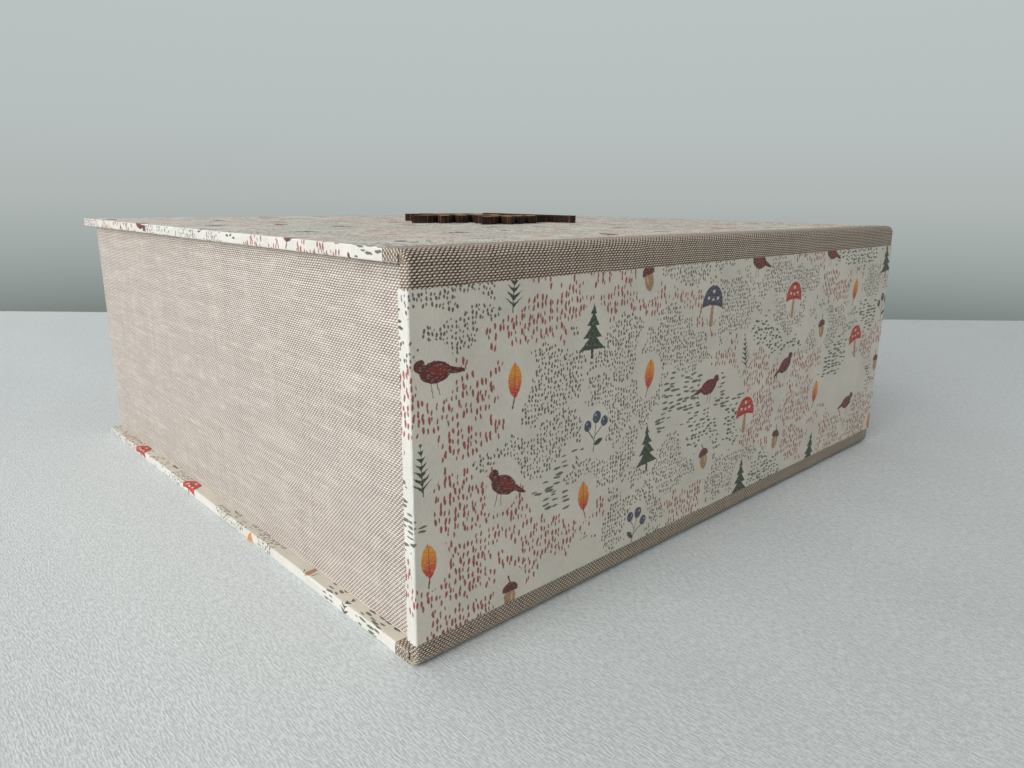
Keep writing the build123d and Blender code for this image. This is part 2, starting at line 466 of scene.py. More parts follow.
class Pen:
    """Adds nodes to one node tree; each call returns the new node's output."""

    def __init__(self, tree, material=None):
        self.tree, self.material = tree, material

    def node(self, kind, inputs, out=0, **settings):
        made = self.tree.nodes.new("ShaderNode" + kind)
        for setting, value in settings.items():
            setattr(made, setting, value)
        self.connect(made, inputs)
        if isinstance(out, tuple):
            return [Signal(self, made.outputs[one]) for one in out]
        return Signal(self, made.outputs[out])

    def connect(self, made, inputs):
        """Link signals to a node's sockets, or set numbers and colours on them."""
        for label, value in inputs.items():
            if isinstance(value, Signal):
                self.tree.links.new(value.socket, made.inputs[label])
            else:
                made.inputs[label].default_value = value

    def math(self, operation, *terms, clamp=False):
        return self.node("Math", dict(enumerate(terms)), operation=operation, use_clamp=clamp)

    def line(self, value, slope, offset, clamp=False):
        """value * slope + offset."""
        return self.math("MULTIPLY_ADD", value, slope, offset, clamp=clamp)

    def vector(self, operation, *terms, out=0):
        return self.node("VectorMath", dict(enumerate(terms)), out, operation=operation)

    def combine(self, x, y, z=0.0):
        return self.node("CombineXYZ", {0: x, 1: y, 2: z})

    def separate(self, vector):
        return self.node("SeparateXYZ", {0: vector}, (0, 1, 2))

    def scaled(self, vector, scale):
        return self.node("VectorMath", {0: vector, "Scale": scale}, operation="SCALE")

    def noise(self, vector, scale, detail=2.0, out="Fac", dimensions="3D", roughness=0.5):
        return self.node(
            "TexNoise",
            {"Vector": vector, "Scale": scale, "Detail": detail, "Roughness": roughness},
            out, noise_dimensions=dimensions,
        )

    def drawn_noise(self, vector, scales, **settings):
        """Noise with a scale of its own along each axis."""
        return self.noise(self.vector("MULTIPLY", vector, scales), 1.0, **settings)

    def sway(self, noise, reach):
        """Turn a noise's colour into a shift to either side."""
        return self.scaled(self.vector("SUBTRACT", noise, (0.5, 0.5, 0.5)), reach)

    def turned(self, vector, angle, centre=(0.0, 0.0, 0.0)):
        """Turn a place about an upright axis."""
        return self.node(
            "VectorRotate", {"Vector": vector, "Center": centre, "Angle": angle},
            rotation_type="Z_AXIS",
        )

    def length(self, vector):
        return self.vector("LENGTH", vector, out="Value")

    def step(self, value, low, high, to_low=0.0, to_high=1.0):
        """Smooth step from to_low to to_high while value goes from low to high."""
        return self.node(
            "MapRange", {0: value, 1: low, 2: high, 3: to_low, 4: to_high},
            interpolation_type="SMOOTHSTEP",
        )

    def mix(self, factor, first, second, blend="MIX"):
        return self.node(
            "Mix", {0: factor, 6: first, 7: second}, 2, data_type="RGBA", blend_type=blend,
        )

    def grey(self, value):
        """The same value in all three channels."""
        return self.combine(value, value, value)

    def darkened(self, colour, value):
        """Colour times a value."""
        return self.mix(1.0, colour, self.grey(value), "MULTIPLY")

    def tidy(self):
        """Place the nodes in columns, each to the right of what feeds it."""
        column, rows = {}, {}
        order = list(self.tree.nodes)
        for made in order:
            feeders = [link.from_node for socket in made.inputs for link in socket.links]
            column[made] = 1 + max((column.get(feeder, 0) for feeder in feeders), default=-1)
            rows[column[made]] = rows.get(column[made], 0) + 1
            made.location = (column[made] * 200, -rows[column[made]] * 190)


TONES = (0.3, 0.7)        # range that the tone of threads and fibres covers

SOCKETS = {"value": "NodeSocketFloat", "vector": "NodeSocketVector", "colour": "NodeSocketColor"}


def make_group(name, draw, inputs, outputs):
    """Build a shader node group; draw(pen, inputs) returns its outputs in order."""
    tree = bpy.data.node_groups.new(name, "ShaderNodeTree")
    for label, (kind, *default) in inputs.items():
        socket = tree.interface.new_socket(label, in_out="INPUT", socket_type=SOCKETS[kind])
        if default:
            socket.default_value, = default
    for label, kind in outputs.items():
        tree.interface.new_socket(label, in_out="OUTPUT", socket_type=SOCKETS[kind])
    pen = Pen(tree)
    entry = tree.nodes.new("NodeGroupInput")
    drawn = draw(pen, {label: Signal(pen, entry.outputs[label]) for label in inputs})
    leave = tree.nodes.new("NodeGroupOutput")
    for label, signal in zip(outputs, drawn):
        tree.links.new(signal.socket, leave.inputs[label])
    pen.tidy()
    return tree


def use_group(pen, name, inputs):
    """Add a group of GROUPS to a tree, and return all of its outputs."""
    tree = bpy.data.node_groups.get(name) or make_group(name, *GROUPS[name])
    made = pen.tree.nodes.new("ShaderNodeGroup")
    made.node_tree = tree
    pen.connect(made, inputs)
    return [Signal(pen, output) for output in made.outputs]


# ---- edge wear ----

def draw_fold_wear(pen, given):
    """Mask that follows the folds of a box-shaped covering, broken up as wear is."""
    inside = pen.vector(
        "SUBTRACT", given["Half Size"],
        pen.vector("ABSOLUTE", pen.vector("SUBTRACT", given["Vector"], given["Centre"])),
    )
    x, y, z = pen.separate(inside)
    to_fold = x.least(y).either(x.either(y).least(z))
    patches = pen.noise(given["Vector"], 260.0, detail=4.0, roughness=0.62)
    spread = pen.noise(given["Vector"], 38.0, detail=1.0)
    reach = given["Width"] * pen.step(patches * 0.55 + spread * 0.45, 0.42, 0.62)
    worn = pen.math("DIVIDE", reach - to_fold, given["Width"] * 0.35, clamp=True)
    near = pen.math("DIVIDE", given["Width"] * 2.5 - to_fold, given["Width"] * 2.5, clamp=True)
    return worn, near, pen.step(x, 0.7 * MM, 0.2 * MM)


# ---- weave ----

def draw_weave(pen, given):
    """Plain weave on the sheet's map: pale weft along U, brown warp along V."""
    u, v, _ = pen.separate(given["Vector"])
    drift = pen.sway(pen.noise(given["Vector"], 80.0, detail=3.0, out="Color"), 1.3)
    drift_u, drift_v, _ = pen.separate(drift)
    across = u / given["Warp Pitch"] + drift_u
    up = v / given["Weft Pitch"] + drift_v
    column, row = (across + 0.5).whole(), (up + 0.5).whole()
    x, y = across - column, up - row
    over = pen.line(pen.math("FLOORED_MODULO", column + row, 2.0), -2.0, 1.0)

    # each thread dips and rises as a cosine, and is round across
    sway_weft = pen.math("COSINE", x * pi) * over
    sway_warp = pen.math("COSINE", y * pi) * over
    weft_tone = pen.noise(pen.combine(u * 26.0, row * 7.3, 1.0), 1.0)
    warp_tone = pen.noise(pen.combine(column * 7.3, v * 26.0, 5.0), 1.0)
    thin_weft, thin_warp = given["Weft Thinness"], given["Warp Thinness"]
    # the yarn's twist slants each pale grain, which reaches over into the next columns
    from_grain = x - pen.line(over, -0.5, 0.5) * pen.math("SIGN", x)
    slanted = y - from_grain * given["Slant"]
    weft = sway_weft * 0.5 + 1.0 - thin_weft * 4.0 * slanted * slanted
    warp = 1.0 - sway_warp * 0.5 - thin_warp * 4.0 * x * x
    streaks = pen.noise(pen.combine(u * 34.0, v * 420.0, 9.0), 1.0)
    thick_and_thin = (weft_tone - 0.5) * 0.9 - (warp_tone - 0.5) * 0.5 + (streaks - 0.5) * 0.5
    knots = pen.noise(pen.combine(u * 170.0, v * 640.0, 3.0), 1.0, detail=1.0)
    slubs = pen.step(knots, 0.54, 0.7)
    lead = weft - warp + thick_and_thin + slubs * given["Slubs"] + given["Weft Lead"]
    mask = pen.step(lead, -0.16, 0.2)
    height = pen.step(weft.either(warp), -0.35, 1.45)
    tone, _, _ = pen.separate(pen.mix(mask, pen.grey(warp_tone), pen.grey(weft_tone)))
    return mask, height, tone


# ---- print ----

# in millimetres, as all of the print is
SOFT_EDGE = 0.14                     # over which a motif's edge fades
DAB_EDGE = 0.11                      # over which a dab's edge fades
CELL_WIDE, CELL_HIGH = 27.0, 24.0    # one motif in each cell
PLOT_WIDE, PLOT_HIGH = 32.0, 14.0    # plots of ground with one kind of dab
KINDS = 7                            # of motif


class Motif:
    """Ink shapes around one motif's own middle, in millimetres."""

    def __init__(self, pen, place):
        self.pen, self.place = pen, place
        self.x, self.y, _ = pen.separate(place)

    def soft(self, depth):
        """Mask of what lies inside an edge, from the depth inside it."""
        return self.pen.math("DIVIDE", depth, SOFT_EDGE, clamp=True)

    def oval(self, x, y, wide, high, turn=0.0):
        """Filled ellipse with these half sizes."""
        pen = self.pen
        moved = pen.turned(self.place, turn, (x, y, 0.0)) if turn else self.place
        unit = pen.vector(
            "MULTIPLY_ADD", moved, (1 / wide, 1 / high, 0.0), (-x / wide, -y / high, 0.0),
        )
        edge = min(wide, high) / SOFT_EDGE
        return pen.line(pen.length(unit), -edge, edge, clamp=True)

    def ovals(self, *ovals):
        """Several solid ellipses as one mask."""
        return either(*(self.oval(*oval) for oval in ovals))

    def stroke(self, start, end, wide, wide_end=None):
        """Line with round ends; wide is its width at the start."""
        pen = self.pen
        start, end = Vector((*start, 0.0)), Vector((*end, 0.0))
        along = end - start
        from_start = pen.vector("SUBTRACT", self.place, start)
        dot = pen.vector("DOT_PRODUCT", from_start, along / along.length_squared, out="Value")
        share = pen.math("ADD", dot, 0.0, clamp=True)
        off = pen.length(pen.vector("SUBTRACT", from_start, pen.scaled(along, share)))
        if wide_end is None:
            half = wide / 2
        else:
            half = pen.line(share, (wide_end - wide) / 2, wide / 2)
        return self.soft(half - off)

    def strokes(self, *strokes):
        """Several lines as one mask."""
        return either(*(self.stroke(*stroke) for stroke in strokes))

    def within(self, value, half):
        """Band where a value lies within half of nought."""
        return self.soft(half - abs(value))

    def stripes(self, value, half_pitch, half):
        """Bands across a value that goes back and forth over half a pitch."""
        return self.within(self.pen.math("PINGPONG", value, half_pitch), half)

    # each motif returns its inks, in the order they are laid down

    def fir(self, ink):
        up = self.pen.line(self.y, 1 / 12.5, 5.3 / 12.5)
        tier = (up * 4.0).part()
        half = (1.0 - up) * (1.3 - tier * 0.75) * 3.9
        boughs = self.soft(half - abs(self.x)) * up.above(0.0) * up.below(1.0)
        light = self.within(self.pen.math("PINGPONG", self.y + abs(self.x) * 0.7, 0.8) - 0.1, 0.12)
        trunk = self.stroke((0, -7.2), (0, -5.0), 1.1)
        return [(trunk, ink["Maroon"]), (boughs, ink["Green"]), (boughs * light * 0.55, ink["Sage"])]

    def toadstool(self, ink, blue_cap):
        pen = self.pen
        stem = self.stroke((0.2, -5.8), (0, 0.6), 2.3, 1.3)
        brim = self.y + self.x * self.x * 0.03 + 0.2
        cap = self.oval(0, -0.2, 5.6, 6.2) * self.soft(brim)
        band = self.stripes(brim - 0.7, 1.15, 0.26)
        both_sides = Motif(pen, pen.vector("ABSOLUTE", self.place))
        spots = both_sides.ovals(
            (2.5, 2.0, 0.75, 0.6), (0.0, 4.0, 0.8, 0.65), (0.0, 1.6, 0.7, 0.5),
        )
        cap_ink = pen.mix(blue_cap, ink["Red"], ink["Blue"])
        tuft = self.strokes(((-1.6, -6.0), (-2.4, -4.2), 0.4), ((1.7, -6.0), (2.7, -4.6), 0.4))
        return [
            (stem, ink["Tan"]), (tuft, ink["Green"]), (cap, cap_ink),
            (cap * band * 0.75, ink["Maroon"]), (cap * spots, ink["Ground"]),
        ]

    def bird(self, ink):
        body = self.oval(0, 0, 4.3, 2.5, radians(-14))
        head = self.oval(3.7, 2.7, 1.55, 1.4)
        neck = self.stroke((2.6, 1.0), (3.5, 2.2), 3.0, 2.4)
        tail = self.stroke((-3.0, -0.6), (-7.4, -2.3), 2.0, 0.9)
        beak = self.stroke((4.8, 2.8), (6.4, 2.3), 0.8, 0.15)
        legs = self.strokes(((0.4, -2.0), (0.0, -5.2), 0.34), ((1.7, -1.8), (1.9, -5.2), 0.34))
        wing = self.oval(-0.9, 0.1, 2.9, 1.25, radians(-22))
        return [
            (legs, ink["Maroon"]), (beak, ink["Ochre"]),
            (either(body, head, neck, tail), ink["Maroon"]), (wing * 0.5, ink["Terracotta"]),
        ]

    def leaf(self, ink):
        pen = self.pen
        blade = self.soft(5.6 - pen.length(pen.combine(abs(self.x) + 3.4, self.y - 0.6)))
        warm = pen.step(self.y, -3.5, 3.5)
        side_veins = self.stripes(self.y - abs(self.x) * 0.9, 0.65, 0.12)
        veins = self.within(self.x, 0.16).either(side_veins * 0.6)
        stalk = self.stroke((0, -3.4), (0.7, -6.0), 0.5)
        return [
            (stalk, ink["Maroon"]), (blade, pen.mix(warm, ink["Red"], ink["Ochre"])),
            (blade * veins * 0.7, ink["Maroon"]),
        ]

    def fern(self, ink):
        pen = self.pen
        up = pen.line(self.y, 1 / 12.0, 0.5)
        reach = pen.step(up, 0.0, 0.25) * (1.08 - up) * 3.9
        wave = pen.math("PINGPONG", self.y - abs(self.x) * 0.75, 0.85)
        slim = (1.0 - abs(self.x) / reach) * 0.62
        leaflets = self.soft(slim - wave) * up.above(0.02) * up.below(1.0)
        stem = self.stroke((0.3, -6.6), (0, 5.4), 0.5, 0.25)
        return [(leaflets, ink["Green"]), (stem, ink["Green"])]

    def acorn(self, ink):
        nut = self.oval(0, -1.2, 2.0, 3.1)
        tip = self.stroke((0, -4.0), (0, -4.9), 0.6, 0.2)
        cup = self.oval(0, 0.9, 2.7, 2.0) * self.y.above(0.3)
        scales = self.stripes(self.x + self.y, 0.45, 0.1)
        stalk = self.stroke((0, 2.6), (0.8, 4.6), 0.6)
        shine = self.oval(-0.7, -1.2, 0.35, 1.5)
        return [
            (nut.either(tip), ink["Tan"]), (shine * 0.6, ink["Ground"]), (stalk, ink["Maroon"]),
            (cup, ink["Maroon"]), (cup * scales * 0.6, ink["Tan"]),
        ]

    def berries(self, ink):
        twig = self.strokes(
            ((0.4, -6.2), (0, 1.6), 0.45, 0.35),
            ((0.1, -2.0), (3.0, 1.0), 0.4), ((0.2, -3.2), (-2.9, -0.4), 0.4),
        )
        fruit = self.ovals((0, 3.2, 1.7, 1.8), (3.4, 2.0, 1.5, 1.6), (-3.2, 0.8, 1.5, 1.6))
        glint = self.ovals((-0.5, 3.8, 0.4, 0.4), (2.9, 2.5, 0.35, 0.35), (-3.7, 1.3, 0.35, 0.35))
        leaf = self.oval(1.9, -3.6, 1.9, 0.8, radians(-28))
        return [
            (twig, ink["Green"]), (leaf, ink["Green"]), (fruit, ink["Blue"]),
            (glint * 0.7, ink["Ground"]),
        ]


def place_motifs(pen, sheet):
    """Place in a motif of a half-drop layout, the motif's kind, and a chance number."""
    u, v, _ = pen.separate(sheet)
    column = (u / CELL_WIDE).whole()
    dropped = v + column * (CELL_HIGH / 2)
    row = (dropped / CELL_HIGH).whole()
    chance, chances = pen.node(
        "TexWhiteNoise", {"Vector": pen.combine(column, row, 3.0)}, ("Value", "Color"),
        noise_dimensions="3D",
    )
    slip_x, slip_y, side = pen.separate(chances)
    x = u - (column + 0.5) * CELL_WIDE - (slip_x - 0.5) * 9.0
    y = dropped - (row + 0.5) * CELL_HIGH - (slip_y - 0.5) * 7.0
    facing = pen.line(side.above(0.5), 2.0, -1.0)
    place = pen.turned(pen.combine(x * facing, y), (chance - 0.5) * 0.5)
    turn = column * 3.0 + row * 2.0 + (chance * 2.0).whole()
    return place, pen.math("FLOORED_MODULO", turn, float(KINDS)), side


def draw_dabs(pen, sheet, spacing, size, clear, seed):
    """Rows of small brush dabs: a mask, and the middle of the dab at each spot."""
    wide, high = spacing
    grid = pen.vector("MULTIPLY_ADD", sheet, (1 / wide, 1 / high, 0.0), (seed, seed, 0.0))
    position, shade_of = pen.node(
        "TexVoronoi", {"Vector": grid, "Scale": 1.0, "Randomness": 0.66},
        ("Position", "Color"), voronoi_dimensions="2D",
    )
    off = pen.vector("SUBTRACT", grid, position)
    chance, lean, _ = pen.separate(shade_of)
    off = pen.vector("MULTIPLY", off, (wide / size[0], high / size[1], 0.0))
    x, y, _ = pen.separate(off)
    bent = pen.combine(x + y * (lean - 0.5) * 0.9, y)
    reach = pen.line(chance, 0.5, 0.65)
    mask = pen.math("DIVIDE", reach - pen.length(bent), DAB_EDGE / min(size), clamp=True)
    cell = pen.vector("SUBTRACT", position, (seed, seed, 0.0))
    return mask * clear, pen.vector("MULTIPLY", cell, (wide, high, 0.0))


def plot_at(pen, home):
    """Chance number of the plot that a dab stands in, and its distance to the plot's border."""
    swerve = pen.noise(pen.scaled(home, 0.07), 1.0, out="Color", dimensions="2D")
    ground = pen.vector(
        "MULTIPLY_ADD", home, (1 / PLOT_WIDE, 1 / PLOT_HIGH, 0.0), pen.sway(swerve, 1.3),
    )
    plots = {"Vector": ground, "Scale": 1.0, "Randomness": 0.9}
    shade_of = pen.node("TexVoronoi", plots, "Color", voronoi_dimensions="2D")
    border = pen.node(
        "TexVoronoi", plots, "Distance", voronoi_dimensions="2D", feature="DISTANCE_TO_EDGE",
    )
    chance, _, _ = pen.separate(shade_of)
    return chance, border


def draw_print(pen, given):
    """Birds, firs, toadstools, ferns, leaves, acorns and berries among brush dabs."""
    sheet = pen.scaled(given["Vector"], 1 / MM)
    wobble = pen.noise(sheet, 0.9, out="Color", dimensions="2D")
    hand = pen.vector("ADD", sheet, pen.sway(wobble, 0.5))
    place, kind, chance = place_motifs(pen, hand)
    motif = Motif(pen, place)
    clear = pen.step(pen.length(pen.vector("MULTIPLY", place, (1 / 5.8, 1 / 7.2, 0.0))), 0.93, 1.0)

    # ink, spacing and half size in mm, seed, and the chance numbers of its plots
    paint = given["Ground"]
    fields = (
        (given["Mauve"], (1.1, 1.24), (0.35, 0.55), 0.0, (0.0, 0.40)),
        (given["Terracotta"], (1.35, 2.0), (0.39, 1.0), 57.0, (0.40, 0.66)),
        (given["Sage"], (3.5, 1.45), (1.65, 0.44), 31.0, (0.66, 0.82)),
        (given["Green"], (2.1, 1.45), (0.95, 0.44), 83.0, (0.82, 0.95)),
    )
    inked = None
    for ink, spacing, size, seed, (lowest, highest) in fields:
        mask, home = draw_dabs(pen, hand, spacing, size, clear, seed)
        plot, border = plot_at(pen, home)
        mask = mask * plot.above(lowest) * plot.below(highest) * border.above(0.07)
        inked = mask if inked is None else inked.either(mask)
        paint = pen.mix(mask * 0.9, paint, ink)

    # dry-brush gaps and darker pools in the solid inks
    strokes = pen.vector("MULTIPLY", sheet, (1.0, 3.2, 0.0))
    brush = pen.noise(strokes, 0.9, detail=4.0, dimensions="2D")
    cover = pen.step(brush, 0.30, 0.46, 0.72, 1.0)
    drawn = (
        motif.bird(given), motif.fir(given), motif.toadstool(given, chance.above(0.72)),
        motif.leaf(given), motif.fern(given), motif.acorn(given), motif.berries(given),
    )
    for number, layers in enumerate(drawn):
        chosen = pen.math("COMPARE", kind, float(number), 0.5) * cover
        for mask, ink in layers:
            mask = mask * chosen
            inked = inked.either(mask)
            paint = pen.mix(mask, paint, ink)
    pools = pen.step(brush, 0.45, 0.75, 1.0, 0.82)
    return pen.mix(inked, paint, pen.darkened(paint, pools)), inked


INKS = (
    "Ground", "Maroon", "Red", "Ochre", "Green", "Blue", "Tan", "Terracotta", "Mauve", "Sage",
)


# ---- paper fibre, used by both papers and the boards ----

def draw_fibre(pen, given):
    """Fine felt of paper: a pale mottle and the height of its fibres."""
    mottle = pen.noise(given["Vector"], 70.0, detail=3.0)
    long_fibre = pen.drawn_noise(
        given["Vector"], (2600.0, 620.0, 900.0), detail=3.0, roughness=0.6,
    )
    fine = pen.noise(given["Vector"], 1500.0, detail=3.0, roughness=0.65)
    tone = mottle * 0.45 + long_fibre * 0.35 + fine * 0.2
    return tone, long_fibre * 0.5 + fine * 0.5


# drawing function, inputs with their kinds and defaults, and outputs
GROUPS = {
    "Fold wear": (
        draw_fold_wear,
        {"Vector": ("vector",), "Centre": ("vector",), "Half Size": ("vector",),
         "Width": ("value", 0.5 * MM)},
        {"Worn": "value", "Near Fold": "value", "End Face": "value"},
    ),
    "Book weave": (
        draw_weave,
        {"Vector": ("vector",), "Weft Pitch": ("value", 0.6 * MM),
         "Warp Pitch": ("value", 0.62 * MM), "Weft Thinness": ("value", 2.3),
         "Warp Thinness": ("value", 1.8), "Slant": ("value", 0.14),
         "Weft Lead": ("value", 0.0), "Slubs": ("value", 0.12)},
        {"Weft": "value", "Height": "value", "Tone": "value"},
    ),
    "Woodland print": (
        draw_print,
        {"Vector": ("vector",), **{ink: ("colour",) for ink in INKS}},
        {"Color": "colour", "Ink": "value"},
    ),
    "Paper fibre": (draw_fibre, {"Vector": ("vector",)}, {"Tone": "value", "Height": "value"}),
}


# ======== materials ========

def new_material(name):
    """Pen for the tree of a new material that has one Principled BSDF."""
    material = bpy.data.materials.new(name)
    material.use_nodes = True
    return Pen(material.node_tree, material)


def finish_material(pen, colour, roughness, specular, normal, **others):
    """Feed the shader, and return the material."""
    pen.connect(
        pen.tree.nodes["Principled BSDF"],
        {"Base Color": colour, "Roughness": roughness, "Specular IOR Level": specular,
         "Normal": normal, **{label.replace("_", " "): value for label, value in others.items()}},
    )
    pen.tidy()
    return pen.material


def sheet_map(pen):
    return pen.node("UVMap", {}, uv_map="sheet")


def object_place(pen):
    return pen.node("TexCoord", {}, "Object")


def bump(pen, height, distance, **others):
    return pen.node("Bump", {"Height": height, "Distance": distance, "Strength": 1.0, **others})


def wear_at(pen, low, high, width):
    """Masks of the wear along the folds of a covering, of the band near them, and of its end faces."""
    return use_group(pen, "Fold wear", {
        "Vector": object_place(pen), "Centre": (low + high) / 2, "Half Size": (high - low) / 2,
        "Width": width,
    })


def mottled(pen, ground, dark, share):
    """Plain felted ground with darker clouds: its colour and the height of its fibres."""
    tone, height = use_group(pen, "Paper fibre", {"Vector": object_place(pen)})
    return pen.mix(pen.step(tone, *TONES), pen.mix(share, ground, dark), ground), height


def book_cloth(name, low, high, weft_lead=0.0, painted_light=0.0, slubs=0.12, pale_thread=None):
    """Two-tone book cloth, rubbed at the folds, with painted shade in the gaps between its threads.
    The argument after weft_lead paints it as lit: a paler brown, less of that shade and pale clouds.
    """
    cloth = bpy.context.scene.box_cloth
    pale_thread = pale_thread or cloth.weft
    pen = new_material(name)
    weft, height, tone = use_group(pen, "Book weave", {
        "Vector": sheet_map(pen), "Weft Pitch": cloth.weft_pitch,
        "Warp Pitch": cloth.warp_pitch, "Weft Lead": weft_lead, "Slubs": slubs,
    })
    worn, near, _ = wear_at(pen, low, high, 0.5 * MM)
    # painted light: the brown is paled towards the pale thread as far as the cloth is painted lit
    brown = pen.mix(painted_light, cloth.warp, pale_thread)
    dark_brown, light_brown = pen.mix(0.25, brown, (0, 0, 0, 1)), pen.mix(0.2, brown, pale_thread)
    warm = pen.mix(pen.step(tone, *TONES), dark_brown, light_brown)
    pale = pen.mix(pen.step(tone, *TONES), pen.mix(0.16, pale_thread, brown), pale_thread)
    # painted shade: the threads are darkened where they sink into the gaps, as raking light shades
    # them, less so as the cloth is painted lit
    painted_gap_shade = pen.step(height, 0.2, 0.85, 0.17 + 0.8 * painted_light, 1.0)
    colour = pen.darkened(pen.mix(weft, warm, pale), painted_gap_shade)
    clouds = pen.drawn_noise(sheet_map(pen), (75.0, 200.0, 0.0), detail=3.0)
    # pale clouds as far as the cloth is painted lit, paling near the folds, and wear on them
    rubbed = pen.step(clouds, 0.46, 0.72, 0.0, 0.5 * painted_light) + near * 0.18 + worn * 0.3
    return finish_material(
        pen, pen.mix(rubbed, colour, pale_thread), 0.86, 0.22, bump(pen, height, cloth.relief),
        Sheen_Weight=0.12, Sheen_Roughness=0.5,
    )


def printed_paper(name, low, high):
    """Matt paper with the woodland print, its white core showing at rubbed folds, and its end faces
    painted paler, as lit.
    """
    paper = bpy.context.scene.box_paper
    pen = new_material(name)
    worn, _, end_face = wear_at(pen, low, high, 0.45 * MM)
    inks = {ink: getattr(paper, ink.lower()) for ink in INKS}
    # painted light: the ground on the end faces is painted half-way to the core's white, as on an end
    # that the light falls on
    inks["Ground"] = pen.mix(end_face * 0.5, paper.ground, paper.core)
    colour, inked = use_group(pen, "Woodland print", {"Vector": sheet_map(pen), **inks})
    tone, height = use_group(pen, "Paper fibre", {"Vector": sheet_map(pen)})
    colour = pen.darkened(colour, pen.step(tone, *TONES, 0.87, 1.1))
    return finish_material(
        pen, pen.mix(worn * 0.92, colour, paper.core), pen.line(inked, -0.06, 0.55), 0.5,
        bump(pen, height - worn * 0.6, 0.05 * MM),
    )


def lining_paper():
    """Plain matt paper with a faint mottle."""
    pen = new_material("Lining paper")
    ground = bpy.context.scene.box_paper.lining
    colour, height = mottled(pen, ground, srgb(168, 152, 126), 0.08)
    return finish_material(pen, colour, 0.82, 0.25, bump(pen, height, 0.04 * MM))


def greyboard():
    """Recycled board with dark and pale flecks."""
    pen = new_material("Greyboard")
    ground = bpy.context.scene.box_board.greyboard
    colour, height = mottled(pen, ground, srgb(90, 84, 76), 0.3)
    flecks = pen.step(pen.noise(object_place(pen), 900.0, detail=4.0), 0.58, 0.7)
    colour = pen.mix(flecks * 0.4, colour, srgb(80, 72, 62))
    return finish_material(pen, colour, 0.9, 0.2, bump(pen, height, 0.08 * MM))


def scorched_ply():
    """Laser-cut plywood: a grained face that browns towards its burned edges."""
    board = bpy.context.scene.box_board
    pen = new_material("Scorched plywood")
    place = object_place(pen)
    _, _, z = pen.separate(place)
    rings = pen.drawn_noise(place, (60.0, 900.0, 260.0), detail=5.0, roughness=0.6)
    pores = pen.drawn_noise(place, (420.0, 4200.0, 900.0))
    late_wood = pen.mix(0.45, board.ply, srgb(128, 78, 40))
    wood = pen.mix(pen.step(rings, 0.35, 0.68), board.ply, late_wood)
    wood = pen.mix(pen.step(pores, 0.62, 0.75) * 0.5, wood, srgb(96, 58, 32))
    edge = pen.node("Attribute", {}, "Fac", attribute_name="scorch", attribute_type="GEOMETRY")
    blotch = pen.noise(place, 420.0, detail=3.0)
    burn = pen.step(edge + (blotch - 0.5) * 0.55, 0.12, 0.62)
    char = pen.step(edge + (blotch - 0.5) * 0.4, 0.62, 0.86)
    # on the cut sides: soot in upright streaks over three plies
    streak = pen.drawn_noise(place, (1400.0, 1400.0, 160.0))
    rise = (z - ORNAMENT[0].z) / (ORNAMENT[1].z - ORNAMENT[0].z)
    ply_level = pen.math("PINGPONG", rise * 3.0, 0.5)
    embers = pen.step(streak + ply_level * 0.25, 0.62, 0.76)
    soot = pen.mix(embers, board.char, srgb(120, 66, 32))
    return finish_material(
        pen, pen.mix(char, pen.mix(burn, wood, srgb(104, 58, 28)), soot),
        pen.line(char, 0.25, 0.6), 0.35, bump(pen, rings + streak * 0.6, 0.12 * MM),
    )


def table_linen():
    """Pale linen: thick and thin threads both ways, a fine speckle and faint creases."""
    pen = new_material("Table linen")
    place = object_place(pen)
    along = pen.drawn_noise(place, (2300.0, 520.0, 1.0), detail=1.0)
    across = pen.drawn_noise(place, (700.0, 2300.0, 1.0), detail=1.0)
    slub = pen.drawn_noise(place, (600.0, 90.0, 1.0))
    threads = along * 0.56 + across * 0.3 + slub * 0.14
    creases = pen.drawn_noise(place, (6.5, 3.5, 1.0))
    tone = pen.step(threads, 0.4, 0.6, 0.87, 1.07)
    return finish_material(
        pen, pen.darkened(bpy.context.scene.box_stage.table, tone), 0.9, 0.2,
        bump(pen, creases, 7 * MM, Normal=bump(pen, threads, 0.3 * MM)),
    )


# ======== operators ========

class BOX_OT_cover_lid(Operator):
    """Cover the lid with printed paper and a strip of book cloth at its back"""

    bl_idname = "storage_box.cover_lid"
    bl_label = "Cover the Lid"

    def execute(self, context):
        low, high = LID_PAPER
        paper = cover_board("lid_paper", low, high)

        def book_like(face, spot):
            x, y = round_board(face, spot, low, high)
            return -y, x

        finish_sheet(paper, book_like)
        dress(
            paper, printed_paper("Printed paper, lid", low, high + PAST_Y),
            "lid", "printed_paper", "lid_cover_paper",
        )

        cloth = wrapped_ends("lid_cloth", *LID_CLOTH, Y, Z, context.scene.box_folds.fold)

        def past_bend(face, spot):
            x, y = round_board(face, spot, low, high, round_fore_edge=False)
            return -x, LID_BOTTOM + BEND_REACH * pi / 2 + SPINE_INSIDE - y

        finish_sheet(cloth, past_bend)
        dress(
            cloth, book_cloth("Book cloth, lid", low - PAST_Y, high + PAST_Y),
            "lid", "book_cloth", "lid_joint_cloth",
        )
        return {"FINISHED"}


def turn_map(cloth):
    """Let a mirrored strip's map run on from the spine's map, down to the base."""
    for corner in cloth.data.uv_layers["sheet"].data:
        corner.uv.y = BOX_TOP - corner.uv.y


